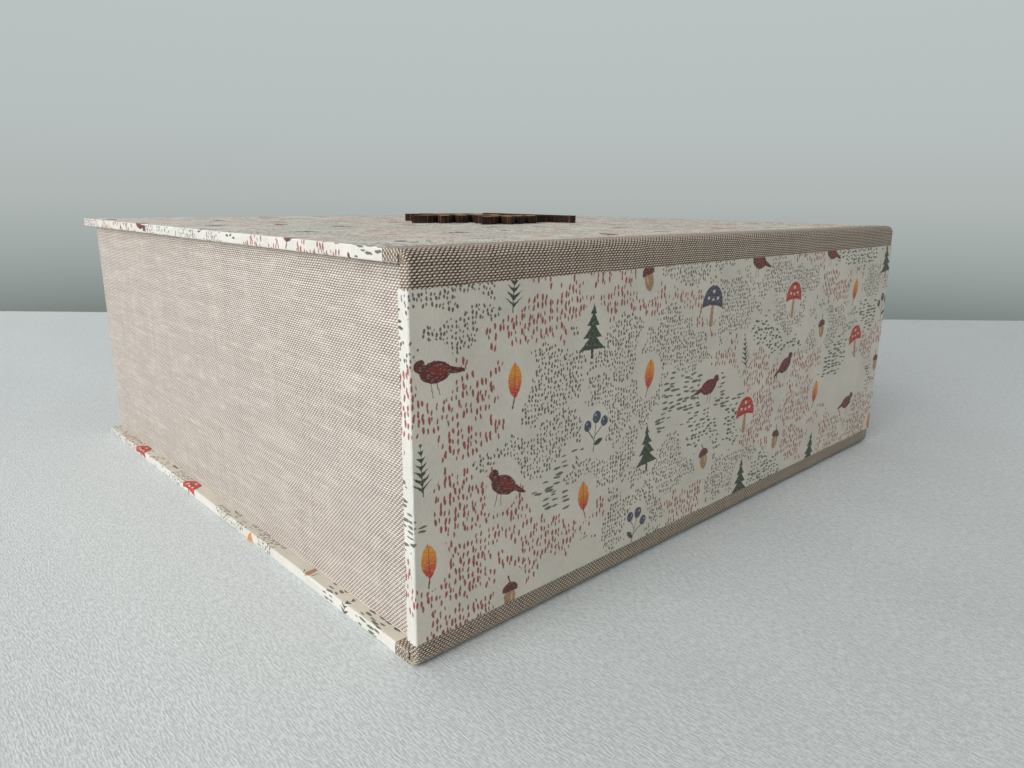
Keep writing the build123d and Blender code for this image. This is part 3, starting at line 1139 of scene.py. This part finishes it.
class BOX_OT_cover_base(Operator):
    """Cover the base as the lid is covered"""

    bl_idname = "storage_box.cover_base"
    bl_label = "Cover the Base"

    def execute(self, context):
        low, high = (Vector((corner.x, corner.y, BOX_TOP - corner.z)) for corner in LID_PAPER)
        low.z, high.z = high.z, low.z
        paper = copy_below(bpy.data.objects["lid_paper"], "base_paper")
        shade(paper)
        dress(
            paper, printed_paper("Printed paper, base", low, high + PAST_Y),
            "box", "printed_paper", "base_cover_paper",
        )
        cloth = copy_below(bpy.data.objects["lid_cloth"], "base_cloth")
        shade(cloth)
        dress(
            cloth, book_cloth("Book cloth, base", low - PAST_Y, high + PAST_Y),
            "box", "book_cloth", "base_joint_cloth",
        )
        # turned to be read from below, and taken from another part of the print
        for corner in paper.data.uv_layers["sheet"].data:
            corner.uv = BASE_PRINT.x - corner.uv.x, BASE_PRINT.y + corner.uv.y
        turn_map(cloth)
        return {"FINISHED"}


def flat_on_spine(low, high):
    """Map of a sheet that lies on the spine and wraps its ends; U runs to the right as seen."""
    def flat(face, spot):
        side = 1 if face.center.x > 0 else -1
        if abs(face.center.x) < high.x - 2 * TURNED_IN:
            reach = spot.x
        elif face.center.y < (low.y + high.y) / 2:
            reach = side * (2 * high.x + (high.y - low.y) - abs(spot.x) - (spot.y - low.y))
        else:
            reach = side * (abs(spot.x) + high.y - spot.y)
        return -reach, spot.z
    return flat


class BOX_OT_cover_spine(Operator):
    """Cover the spine with book cloth, and glue a panel of printed paper over it"""

    bl_idname = "storage_box.cover_spine"
    bl_label = "Cover the Spine"

    def execute(self, context):
        folds = context.scene.box_folds
        low = Vector((SPINE_CLOTH[0].x, SPINE_INSIDE - COVERING, BOX_TOP - LID_BOTTOM))
        high = BEND_START
        cloth = wrapped_ends("spine_cloth_sheet", low, high, Z, Y, folds.corner)
        finish_sheet(cloth, flat_on_spine(low, high))
        dress(
            cloth, book_cloth("Book cloth, spine", low - PAST_Z, high + PAST_Z),
            "box", "book_cloth", "spine_cloth",
        )

        low, high = PANEL
        panel = wrapped_ends("spine_panel", low, high, Z, Y, folds.fold)
        finish_sheet(panel, flat_on_spine(low, high))
        dress(
            panel, printed_paper("Printed paper, spine", low - PAST_Z, high + PAST_Z),
            "box", "printed_paper", "spine_panel_paper",
        )
        return {"FINISHED"}


def bend_sheet(name, steps=10):
    """Sheet along X that turns from the spine round the bend, and laps on over the lid.

    Its ends are folded in towards the bend's centre.
    """
    start, centre = BEND_START, BEND_CENTRE
    corner = bpy.context.scene.box_folds.corner
    seam = 1 * MM
    deselect_all()
    bpy.ops.mesh.primitive_plane_add(
        size=1, calc_uvs=False, location=(0, start.y, start.z - seam / 2), rotation=(pi / 2, 0, 0),
    )
    bpy.context.active_object.scale = (2 * start.x, seam, 1)
    piece = name_new(name)
    with editing(piece):
        widen_ends(piece, Z, inwards=corner + END_FOLD)
        round_edges(piece, corner, Z, segments=4)
        pick(
            piece, "EDGE",
            lambda edge: all(abs(vert.co.z - start.z) < seam / 4 for vert in edge.verts),
        )
        bpy.ops.mesh.spin(steps=steps, angle=-pi / 2, center=centre, axis=(1, 0, 0), dupli=False)
        delete_faces(piece, lambda face: face.calc_center_median().z < start.z - seam / 4)
        widen_edges(
            piece, (0, LID_CLOTH[1].y - centre.y, 0),
            lambda edge: all(abs(vert.co.y - centre.y) < seam / 40 for vert in edge.verts),
        )
        bpy.ops.mesh.select_all(action="SELECT")
        bpy.ops.mesh.remove_doubles(threshold=WELD)
    face_outwards(piece)
    widest = max(piece.data.polygons, key=lambda face: face.area)
    if widest.normal.yz.dot(widest.center.yz - centre.yz) < 0:
        with editing(piece):
            bpy.ops.mesh.select_all(action="SELECT")
            bpy.ops.mesh.flip_normals()
    return piece


def over_bend(face, spot):
    """V runs on from the spine over the bend, and U in over the folded ends."""
    lap = max(0.0, BEND_CENTRE.y - spot.y)
    y, z = max(0.0, spot.y - BEND_CENTRE.y), spot.z - BEND_CENTRE.z
    at_end = abs(spot.x) > BEND_START.x - END_WIDTH
    sunk = BEND_REACH - Vector((y, z)).length if at_end else 0.0
    side = 1 if spot.x > 0 else -1
    return -spot.x - side * sunk, BEND_CENTRE.z + BEND_REACH * atan2(z, y) + lap


def fill_joint_ends(cloth):
    """Fill each end of both joints, where the strip of cloth is turned in."""
    depth, wide, inset = 1.65 * MM, 1.4 * MM, 0.15 * MM
    outer = Vector((BEND_START.x - inset, BEND_CENTRE.y, BEND_CENTRE.z))
    low, high = outer - Vector((wide, 0, 0)), outer + Vector((0, depth, depth))
    middle = (low + high) / 2
    right = block("joint_end", low, high)
    with editing(right):
        round_edges(
            right, depth * 0.85, X, segments=5,
            wanted=lambda edge: all(
                vert.co.y > middle.y and vert.co.z > middle.z for vert in edge.verts
            ),
        )
    shade(right)
    lay_flat(right, over_bend)
    left = mirrored(right, "joint_end_other", X)
    for piece in (right, left):
        below = copy_below(piece, piece.name + "_below")
        shade(below)
        for end in (piece, below):
            dress(end, cloth, "box", "book_cloth", "spine_cloth")


def joint_strip(name, low, high, inner, edge_axis, beyond, fold):
    """Sheet that looks down the inner axis, and goes on over the board's edge for its full length."""
    strip = block(name, low, high)
    with editing(strip):
        delete_faces(
            strip, lambda face: not (faces_along(face, inner, -1) or faces_along(face, edge_axis, 1)),
        )
        widen_ends(strip, inner, outwards=beyond)
        round_edges(strip, fold)
    finish_sheet(strip, lambda face, spot: (spot.x, spot.y + spot.z))
    return strip


class BOX_OT_bridge_joints(Operator):
    """Bridge both joints with book cloth, and line the lid's joint"""

    bl_idname = "storage_box.bridge_joints"
    bl_label = "Bridge the Joints"

    def execute(self, context):
        fold = context.scene.box_folds.fold
        joint = bend_sheet("joint_cloth")
        highest = max(vert.co.z for vert in joint.data.vertices)
        if abs(highest - BOX_TOP) > 0.05 * MM:
            raise RuntimeError(f"the joint's bend ends at {highest}, not at {BOX_TOP}")
        finish_sheet(joint, over_bend, layers=2, flat_faces=False)

        past = PAST_Y + PAST_Z
        mirror_start = Vector((-BEND_START.x, BEND_START.y, BEND_START.z))
        cloth = book_cloth("Book cloth, joints", mirror_start - past, BEND_START + past)
        base_joint = copy_below(joint, "base_joint_cloth_sheet")
        turn_map(base_joint)
        shade(base_joint, flat_faces=False)
        dress(base_joint, cloth, "box", "book_cloth", "spine_cloth")
        dress(joint, cloth, None, "book_cloth", "spine_cloth")
        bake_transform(joint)
        fill_joint_ends(cloth)

        # under the back of the lid, and up its back edge
        low, high = LID_STRIP
        strip = joint_strip("lid_joint_strip", low, high, Z, Y, LID_BOARD[1].x - high.x, fold)
        dress(
            strip, book_cloth("Book cloth, lid lining", low - past, high + past),
            "lid", "book_cloth", "lid_hinge_lining",
        )

        # up the inside of the spine, and over its top
        low = SPINE_STRIP[0]
        high = Vector((SPINE_STRIP[1].x, CLOTH_FACE - 2 * COVERING, LID_BOTTOM + COVERING))
        strip = joint_strip(
            "spine_joint_strip", low, high, Y, Z, SPINE_BOARD[1].x - high.x, fold / 2,
        )
        dress(
            strip, book_cloth("Book cloth, spine lining", low - past, high + past),
            "box", "book_cloth", "spine_hinge_lining",
        )
        return {"FINISHED"}


OTHER_WALLS = 0.5        # where the maps of the front and back walls begin


class BOX_OT_cover_tray(Operator):
    """Cover the tray with book cloth, over the rim and down inside its walls"""

    bl_idname = "storage_box.cover_tray"
    bl_label = "Cover the Tray"

    def execute(self, context):
        folds = context.scene.box_folds
        low, high = TRAY
        middle, half = (low + high) / 2, (high - low) / 2
        wall = 2 * folds.covering + TRAY_WALL[1].y - TRAY_WALL[0].y

        def inwards(spot, axis):
            """How far a spot is in from the tray's side across the axis."""
            return half[axis] - abs(spot[axis] - middle[axis])

        def outside(edge):
            spot = (edge.verts[0].co + edge.verts[1].co) / 2
            return min(inwards(spot, X), inwards(spot, Y)) < wall / 2

        cloth = block("tray_cloth_sheet", low, high)
        with editing(cloth):
            pick(cloth, "FACE", lambda face: faces_along(face, Z, -1))
            bpy.ops.mesh.inset(thickness=folds.turned_in)
            bpy.ops.mesh.delete(type="FACE")
            pick(cloth, "FACE", lambda face: faces_along(face, Z, 1))
            bpy.ops.mesh.inset(thickness=wall)
            bpy.ops.mesh.extrude_region_move(TRANSFORM_OT_translate={"value": (0, 0, -RIM_FOLD)})
            bpy.ops.mesh.delete(type="FACE")
            round_edges(cloth, folds.corner, Z, segments=4, wanted=outside)
            round_edges(
                cloth, folds.fold, wanted=lambda edge: outside(edge) or not runs_along(edge, Z),
            )

        def round_tray(face, spot):
            """U goes round the walls and V up them, over the rim and down again."""
            far_x, far_y = inwards(face.center, X), inwards(face.center, Y)
            if far_x < far_y:
                inward, along = inwards(spot, X), spot.y if face.center.x > 0 else -spot.y
            else:
                inward = inwards(spot, Y)
                along = (-spot.x if face.center.y > 0 else spot.x) + OTHER_WALLS
            if face.center.z < low.z + folds.covering * 1.5:
                return along, low.z - inward
            inner = min(far_x, far_y) > wall / 2
            return along, inward + (2 * high.z - spot.z if inner else spot.z)

        finish_sheet(cloth, round_tray)
        # painted light: the tray's cloth is the spine's cloth painted as lit, with paler weft, more of
        # it showing, a paler brown and less painted shade in its gaps
        lit_tray_weft = context.scene.box_cloth.lit_tray_weft
        material = book_cloth(
            "Book cloth, tray", low, high,
            weft_lead=0.42, painted_light=0.29, slubs=0.5, pale_thread=lit_tray_weft,
        )
        dress(cloth, material, "box", "book_cloth", "tray_cloth")
        return {"FINISHED"}


class BOX_OT_line_box(Operator):
    """Line the tray and the lid with plain paper, and finish the boards"""

    bl_idname = "storage_box.line_box"
    bl_label = "Line the Box"

    def execute(self, context):
        paper, board = lining_paper(), greyboard()
        for name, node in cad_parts.items():
            if name in ("lid_lining_paper", "tray_wall_lining", "tray_floor_lining"):
                material = paper
            elif name.endswith(("_board", "_wall")):
                material = board
            else:
                continue
            node.data.materials.clear()
            node.data.materials.append(material)
        return {"FINISHED"}


def distance_to_segment(spot, start, end):
    along = end - start
    if along.length_squared == 0:
        return (spot - start).length
    share = min(1.0, max(0.0, (spot - start).dot(along) / along.length_squared))
    return (spot - start - along * share).length


def scorch_from_edges(piece, top, width):
    """Write how burned each vertex is, from its distance to the ornament's cut outline."""
    mesh = piece.data
    cut = {key for face in mesh.polygons if abs(face.normal.z) < 0.5 for key in face.edge_keys}
    ends = [[mesh.vertices[end].co for end in edge.vertices] for edge in mesh.edges if edge.key in cut]
    outline = [
        (start.xy, end.xy) for start, end in ends
        if abs(start.z - top) < 0.01 * MM and abs(end.z - top) < 0.01 * MM
    ]
    if not outline:
        raise RuntimeError("the ornament's outline wasn't found")
    scorch = mesh.attributes.new("scorch", "FLOAT", "POINT")
    for vertex in mesh.vertices:
        nearest = min(distance_to_segment(vertex.co.xy, *segment) for segment in outline)
        scorch.data[vertex.index].value = max(0.0, 1.0 - nearest / width)


class BOX_OT_mount_ornament(Operator):
    """Finish the plywood sprig on the lid"""

    bl_idname = "storage_box.mount_ornament"
    bl_label = "Mount the Ornament"

    def execute(self, context):
        ornament = copied(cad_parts["lid_ornament"], "ornament")
        low, high = ORNAMENT
        step = 0.8 * MM
        with editing(ornament):
            bpy.ops.mesh.select_all(action="SELECT")
            bpy.ops.mesh.remove_doubles(threshold=WELD)
            bpy.ops.mesh.dissolve_limited(angle_limit=radians(1))
            for axis in (X, Y):
                for line in range(1, int((high[axis] - low[axis]) / step)):
                    bpy.ops.mesh.select_all(action="SELECT")
                    cut_across(axis, low[axis] + line * step)
        face_outwards(ornament)
        scorch_from_edges(ornament, high.z, context.scene.box_board.scorch_width)
        shade(ornament, flat_faces=False)
        dress(ornament, scorched_ply(), "lid", "plywood", "lid_ornament")
        return {"FINISHED"}


# ======== stage ========

CAMERA_PLACE = Vector((0.2096, 0.2393, 0.1051))
CAMERA_TURN = Euler((radians(75.8375), radians(-0.5262), radians(136.9708)))
CAMERA_LENS = 25.97
TABLE_BEHIND = 0.675          # level distance from the camera to the table's far edge
TABLE_DEEP, TABLE_WIDE = 4.0, 5.0
TABLE_DROP = 0.12             # how far the tablecloth hangs down behind
# the wall's tones are painted light and shade: dark just above the table's edge, where shade falls,
# and paler higher up
PAINTED_WALL_SHADE = (                # height of the view line, and the wall's painted tone there
    (-0.24, (206, 212, 212)), (-0.165, (124, 132, 128)), (-0.134, (124, 132, 128)),
    (-0.108, (139, 148, 145)), (-0.081, (152, 161, 158)), (-0.056, (162, 170, 168)),
    (-0.003, (175, 182, 180)), (0.096, (184, 191, 191)), (0.22, (186, 195, 194)),
)


def lay_table():
    """Lay the table, its far edge square to the view and its cloth hanging down behind."""
    ahead = CAMERA_TURN.to_matrix() @ Vector((0, 0, -1))
    ahead = Vector((ahead.x, ahead.y, 0)).normalized()
    far = Vector((CAMERA_PLACE.x, CAMERA_PLACE.y, 0)) + ahead * TABLE_BEHIND
    deselect_all()
    bpy.ops.mesh.primitive_plane_add(
        size=1, calc_uvs=False, location=far - ahead * TABLE_DEEP / 2,
        rotation=(0, 0, atan2(-ahead.x, ahead.y)),
    )
    bpy.context.active_object.scale = (TABLE_WIDE, TABLE_DEEP, 1)
    table = name_new("table")
    with editing(table):
        widen_edges(
            table, (0, 0, -TABLE_DROP),
            lambda edge: all((vert.co - far).dot(ahead) > -0.01 for vert in edge.verts),
        )
        round_edges(table, 4 * MM)
    table.data.materials.append(table_linen())


def soft_lamp(name, place, size, power):
    """Add a rectangular lamp that faces the box."""
    deselect_all()
    bpy.ops.object.light_add(type="AREA", location=place)
    lamp = bpy.context.active_object
    lamp.name = lamp.data.name = name
    lamp.data.shape = "RECTANGLE"
    lamp.data.size, lamp.data.size_y = size
    lamp.data.energy = power
    lamp.rotation_mode = "QUATERNION"
    lamp.rotation_quaternion = (lamp.location - Vector((0, 0, BOX_TOP / 2))).to_track_quat("Z", "Y")
    lamp.visible_camera = False


def light_room(strength):
    """Even light from all round, and behind the table a wall, seen by the camera and in reflections,
    with painted shade low down that pales with height.
    """
    world = bpy.data.worlds.new("Room")
    bpy.context.scene.world = world
    world.use_nodes = True
    pen = Pen(world.node_tree)
    world.node_tree.nodes.clear()
    _, _, rise = pen.separate(pen.node("TexCoord", {}, "Generated"))
    # painted shade and light: the wall darkens just above the table and pales with height
    wall = srgb(*PAINTED_WALL_SHADE[0][1])
    for (start, _), (end, tone) in zip(PAINTED_WALL_SHADE, PAINTED_WALL_SHADE[1:]):
        wall = pen.mix(pen.node("MapRange", {0: rise, 1: start, 2: end}), wall, srgb(*tone))
    seen = either(*pen.node(
        "LightPath", {}, ("Is Camera Ray", "Is Glossy Ray", "Is Transmission Ray"),
    ))
    room = pen.node("Background", {"Color": (1.0, 1.0, 1.0, 1.0), "Strength": strength})
    backdrop = pen.node("Background", {"Color": wall, "Strength": 1.0})
    mixed = pen.node("MixShader", {0: seen, 1: room, 2: backdrop})
    output = world.node_tree.nodes.new("ShaderNodeOutputWorld")
    world.node_tree.links.new(mixed.socket, output.inputs["Surface"])
    pen.tidy()


class BOX_OT_set_stage(Operator):
    """Lay the table, light it softly from the left and set up the camera"""

    bl_idname = "storage_box.set_stage"
    bl_label = "Set the Stage"

    def execute(self, context):
        stage = context.scene.box_stage
        lay_table()
        soft_lamp("window", (2.2, 0.2, 0.62), (1.6, 1.0), stage.window_power)
        soft_lamp("high_light", (1.2, 0.1, 0.95), (1.0, 0.8), stage.high_power)
        soft_lamp("back_light", (0.3, -1.6, 1.3), (1.6, 1.2), stage.back_power)
        light_room(stage.room_strength)

        deselect_all()
        bpy.ops.object.camera_add(location=CAMERA_PLACE, rotation=CAMERA_TURN)
        camera = bpy.context.active_object
        camera.name = "camera"
        camera.data.lens = CAMERA_LENS
        camera.data.sensor_width = 36
        camera.data.clip_start = 0.01
        context.scene.camera = camera
        context.scene.view_settings.view_transform = "Standard"
        return {"FINISHED"}


class BOX_PT_storage_box(Panel):
    """Lists the steps of covering the box, and its settings"""

    bl_idname = "BOX_PT_storage_box"
    bl_label = "Storage Box"
    bl_space_type = "VIEW_3D"
    bl_region_type = "UI"
    bl_category = "Storage Box"

    def draw(self, context):
        for step in STEPS:
            self.layout.operator(step.bl_idname)
        for setting in SETTINGS:
            group = getattr(context.scene, setting)
            column = self.layout.column(heading=setting.removeprefix("box_").title())
            for label in group.__annotations__:
                column.prop(group, label)


SETTINGS = {
    "box_folds": FoldSettings, "box_cloth": ClothSettings, "box_paper": PaperSettings,
    "box_board": BoardSettings, "box_stage": StageSettings,
}
STEPS = (
    BOX_OT_cover_lid, BOX_OT_cover_base, BOX_OT_cover_spine, BOX_OT_bridge_joints,
    BOX_OT_cover_tray, BOX_OT_line_box, BOX_OT_mount_ornament, BOX_OT_set_stage,
)


def register():
    for made in (*SETTINGS.values(), *STEPS, BOX_PT_storage_box):
        bpy.utils.register_class(made)
    for setting, group in SETTINGS.items():
        setattr(bpy.types.Scene, setting, PointerProperty(type=group))


def unregister():
    for setting in SETTINGS:
        delattr(bpy.types.Scene, setting)
    for made in (BOX_PT_storage_box, *reversed(STEPS), *reversed(SETTINGS.values())):
        bpy.utils.unregister_class(made)


def main():
    """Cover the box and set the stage."""
    register()
    bpy.ops.storage_box.cover_lid()
    bpy.ops.storage_box.cover_base()
    bpy.ops.storage_box.cover_spine()
    bpy.ops.storage_box.bridge_joints()
    bpy.ops.storage_box.cover_tray()
    bpy.ops.storage_box.line_box()
    bpy.ops.storage_box.mount_ornament()
    bpy.ops.storage_box.set_stage()
    deselect_all()


if __name__ == "__main__":
    main()
